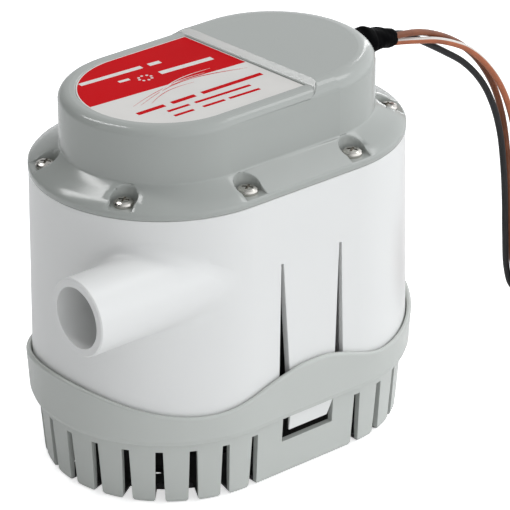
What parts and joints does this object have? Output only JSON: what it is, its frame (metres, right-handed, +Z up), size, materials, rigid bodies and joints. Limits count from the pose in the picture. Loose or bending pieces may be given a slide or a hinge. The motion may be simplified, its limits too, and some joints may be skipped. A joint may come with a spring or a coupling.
{
  "type": "bilge pump",
  "caption": "Automatic submersible bilge pump: racetrack white housing with hose spout, grey motor lid, slotted snap-off strainer base and bare-ended leads.",
  "frame": {"origin": "middle of the strainer's flat base face", "axes": "+Z up along the motor shaft, X along the long side of the body with the outlet spout pointing to -X, -Y the side that carries the spout"},
  "size_m": [0.2904, 0.1044, 0.1454],
  "materials": {
    "base_grey": "fine satin moulded, mid grey",
    "housing_white": "satin white moulded",
    "lid_grey": "satin moulded grey",
    "label_red": "printed film, red and white",
    "stainless": "stainless",
    "black_rubber": "matt",
    "black_plastic": "matt",
    "chamber_plastic": "moulded",
    "impeller_blue": "moulded",
    "brass": "turned",
    "bronze": "sintered",
    "motor_steel": "zinc plated",
    "ferrite": "ferrite grey",
    "lamination": "stamped",
    "copper": "enamelled copper",
    "phenolic": "phenolic board",
    "carbon": "carbon",
    "float_orange": "moulded foam",
    "reed_glass": "clear",
    "board_green": "solder mask",
    "relay_blue": "moulded case",
    "lead_red": "insulation",
    "wire_black": "insulation",
    "wire_brown": "insulation",
    "wire_orange": "insulation with a white stripe"
  },
  "bodies": {
    "base": {"strainer_base": "base_grey"},
    "pump": {"housing": "housing_white", "lid": "lid_grey", "lid_gasket": "black_rubber", "label": "label_red", "lid_screws": "stainless", "cable_boot": "black_rubber", "volute": "chamber_plastic", "inlet_plate": "chamber_plastic", "chamber_screws": "stainless", "riser_seal": "black_rubber", "shaft_seal": "black_rubber", "seal_carrier": "black_plastic", "bearing_lower": "bronze", "bearing_upper": "bronze", "motor_end_plate": "motor_steel", "motor_can": "motor_steel", "motor_magnets": "ferrite", "brush_plate": "phenolic", "brushes": "carbon", "brush_springs": "brass", "float_well": "chamber_plastic", "float_guard": "chamber_plastic", "reed_switch": "reed_glass", "control_board": "board_green", "board_screws": "stainless", "relay": "relay_blue", "capacitor": "black_plastic", "motor_leads": "lead_red", "supply_leads": "wire_black", "wire_black": "wire_black", "wire_brown": "wire_brown", "wire_stripe": "wire_orange", "coil_black": "wire_black", "coil_brown": "wire_brown", "coil_stripe": "wire_orange", "wire_tie": "black_plastic"},
    "rotor": {"shaft": "stainless", "impeller": "impeller_blue", "impeller_nut": "brass", "armature_stack": "lamination", "windings": "copper", "commutator": "copper"},
    "float": {"float": "float_orange", "float_magnet": "ferrite"},
    "latch_front": {"latch_front": "housing_white"},
    "latch_back": {"latch_back": "housing_white"}
  },
  "joints": [
    {"name": "pump_lift", "type": "slide", "parent": "base", "child": "pump", "axis": [0, 0, 1], "range_m": [0, 0.055], "deforming": ["latch_front", "latch_back"]},
    {"name": "rotor_spin", "type": "hinge", "parent": "pump", "child": "rotor", "pos_m": [-0.02, 0.003, 0.08], "axis": [0, 0, 1], "continuous": true},
    {"name": "float_rise", "type": "slide", "parent": "pump", "child": "float", "axis": [0, 0, 1], "range_m": [0, 0.026]},
    {"name": "latch_front_press", "type": "hinge", "parent": "pump", "child": "latch_front", "pos_m": [0.0022, -0.0478, 0.0877], "axis": [1, 0, 0], "range_deg": [0, 3.2], "stiffness_Nm_per_rad": 8},
    {"name": "latch_back_press", "type": "hinge", "parent": "pump", "child": "latch_back", "pos_m": [-0.0022, 0.0478, 0.0877], "axis": [-1, 0, 0], "range_deg": [0, 3.2], "stiffness_Nm_per_rad": 8}
  ]
}
